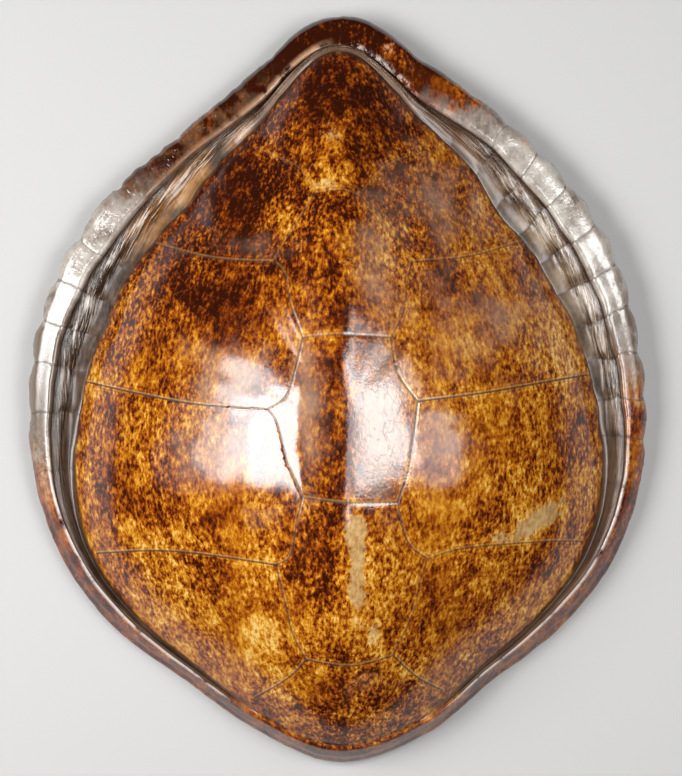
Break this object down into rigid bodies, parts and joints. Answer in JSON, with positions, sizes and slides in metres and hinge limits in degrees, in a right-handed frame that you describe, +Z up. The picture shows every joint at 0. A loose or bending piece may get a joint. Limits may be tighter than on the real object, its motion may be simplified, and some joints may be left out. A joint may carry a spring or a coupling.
{
  "type": "sea turtle shell",
  "caption": "Varnished sea turtle carapace with a hollow domed shell, scute grooves, a raised keel and a scalloped rim that curls up into a gutter at the tail half.",
  "frame": {"origin": "middle of the shell's outline on the surface that it rests on", "axes": "+Z up through the dome's crown, +Y towards the tail tip, +X to the shell's right side in the picture"},
  "size_m": [0.5242, 0.6326, 0.15],
  "materials": {
    "varnished_scute": "varnished horn, mottled amber and dark brown, glossy"
  },
  "bodies": {
    "root": {"carapace": "varnished_scute"}
  },
  "joints": []
}
